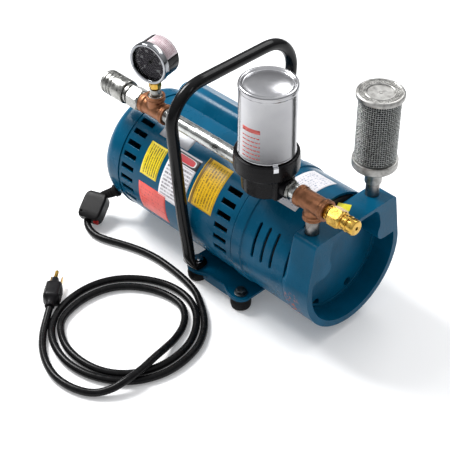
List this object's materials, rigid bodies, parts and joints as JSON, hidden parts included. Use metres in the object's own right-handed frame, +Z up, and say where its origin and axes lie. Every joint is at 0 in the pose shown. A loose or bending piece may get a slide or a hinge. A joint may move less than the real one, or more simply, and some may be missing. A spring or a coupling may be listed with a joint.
{
  "type": "rotary vane air pump",
  "caption": "Motor-driven rotary vane air pump with mesh inlet filter, relief valve, outlet filter jar, pressure gauge, quick coupler, tube handle, rubber feet and mains cord.",
  "frame": {"origin": "on the floor under the middle of the pump's box, measured without the cord, switch and plug", "axes": "+X along the shaft towards the pump's open front, +Y away from the gauge and pipework side, +Z up"},
  "size_m": [0.4142, 0.4033, 0.314],
  "materials": {
    "blue_enamel": "gloss",
    "black_enamel": "satin gloss",
    "core_iron": "matte",
    "enamelled_wire": "gloss",
    "zinc_steel": "satin",
    "steel_mesh": "satin",
    "bronze": "matte",
    "brass": "polished",
    "polished_aluminium": "polished",
    "chrome": "polished",
    "black_plastic": "satin",
    "red_plastic": "gloss",
    "black_rubber": "matte",
    "carbon": "matte",
    "filter_felt": "matte",
    "gauge_dial": "matte",
    "gauge_lens": "clear"
  },
  "bodies": {
    "frame": {"motor_shell": "blue_enamel", "rear_end_bell": "blue_enamel", "pump_housing": "blue_enamel", "front_cowl": "blue_enamel", "capacitor_cover": "blue_enamel", "base_plate": "blue_enamel", "stator_core": "core_iron", "pump_cylinder": "core_iron", "field_winding": "enamelled_wire", "rear_bearing": "zinc_steel", "front_bearing": "zinc_steel", "capacitor": "polished_aluminium", "foot_front_near": "black_rubber", "foot_front_far": "black_rubber", "foot_rear_near": "black_rubber", "foot_rear_far": "black_rubber", "bolt_front_near": "chrome", "bolt_front_far": "chrome", "bolt_rear_near": "chrome", "bolt_rear_far": "chrome", "handle": "black_enamel", "outlet_nipple": "zinc_steel", "inlet_nipple": "zinc_steel", "jar_nipple": "zinc_steel", "outlet_pipe": "zinc_steel", "gauge_bushing": "zinc_steel", "coupler_body": "zinc_steel", "outlet_tee": "bronze", "rear_tee": "bronze", "relief_valve_body": "brass", "relief_valve_spring": "zinc_steel", "jar_base": "black_plastic", "jar_felt": "filter_felt", "jar_clip": "chrome", "gauge_case": "black_enamel", "gauge_dial": "gauge_dial", "gauge_lens": "gauge_lens", "gauge_bezel": "chrome", "filter_base": "zinc_steel", "filter_mesh": "steel_mesh", "filter_cap": "zinc_steel", "strain_relief": "black_rubber", "cord_lead": "black_rubber", "power_cord": "black_rubber", "switch_body": "black_plastic", "plug": "black_plastic"},
    "shaft_group": {"motor_shaft": "zinc_steel", "rotor_core": "core_iron", "cooling_fan": "black_plastic", "pump_rotor": "core_iron", "vane_1": "carbon", "vane_2": "carbon", "vane_3": "carbon", "vane_4": "carbon"},
    "gauge_pointer": {"gauge_pointer": "black_enamel"},
    "relief_valve_knob": {"relief_valve_knob": "brass"},
    "relief_valve_poppet": {"relief_valve_poppet": "brass"},
    "coupler_sleeve": {"coupler_sleeve": "zinc_steel"},
    "switch_button": {"switch_button": "red_plastic"},
    "jar_cover": {"jar_cover": "polished_aluminium"}
  },
  "joints": [
    {"name": "shaft_spin", "type": "hinge", "parent": "frame", "child": "shaft_group", "pos_m": [-0.005, 0, 0.088], "axis": [1, 0, 0], "continuous": true},
    {"name": "gauge_needle", "type": "hinge", "parent": "frame", "child": "gauge_pointer", "pos_m": [-0.111, -0.049, 0.2596], "axis": [0.2045, -0.9789, 0], "range_deg": [-98.5, 171.5]},
    {"name": "relief_adjust", "type": "hinge", "parent": "frame", "child": "relief_valve_knob", "pos_m": [0.19, -0.049, 0.193], "axis": [1, 0, 0], "range_deg": [-360, 360]},
    {"name": "relief_lift", "type": "slide", "parent": "frame", "child": "relief_valve_poppet", "axis": [1, 0, 0], "range_m": [0, 0.0012], "stiffness_N_per_m": 1500, "springref_m": -0.002},
    {"name": "coupler_pull", "type": "slide", "parent": "frame", "child": "coupler_sleeve", "axis": [1, 0, 0], "range_m": [0, 0.004], "stiffness_N_per_m": 1500, "springref_m": -0.002},
    {"name": "switch_press", "type": "slide", "parent": "frame", "child": "switch_button", "axis": [-0.3605, 0.8111, 0.4606], "range_m": [0, 0.0018], "stiffness_N_per_m": 600, "springref_m": -0.001},
    {"name": "jar_lift", "type": "slide", "parent": "frame", "child": "jar_cover", "axis": [0, 0, 1], "range_m": [0, 0.1]}
  ]
}
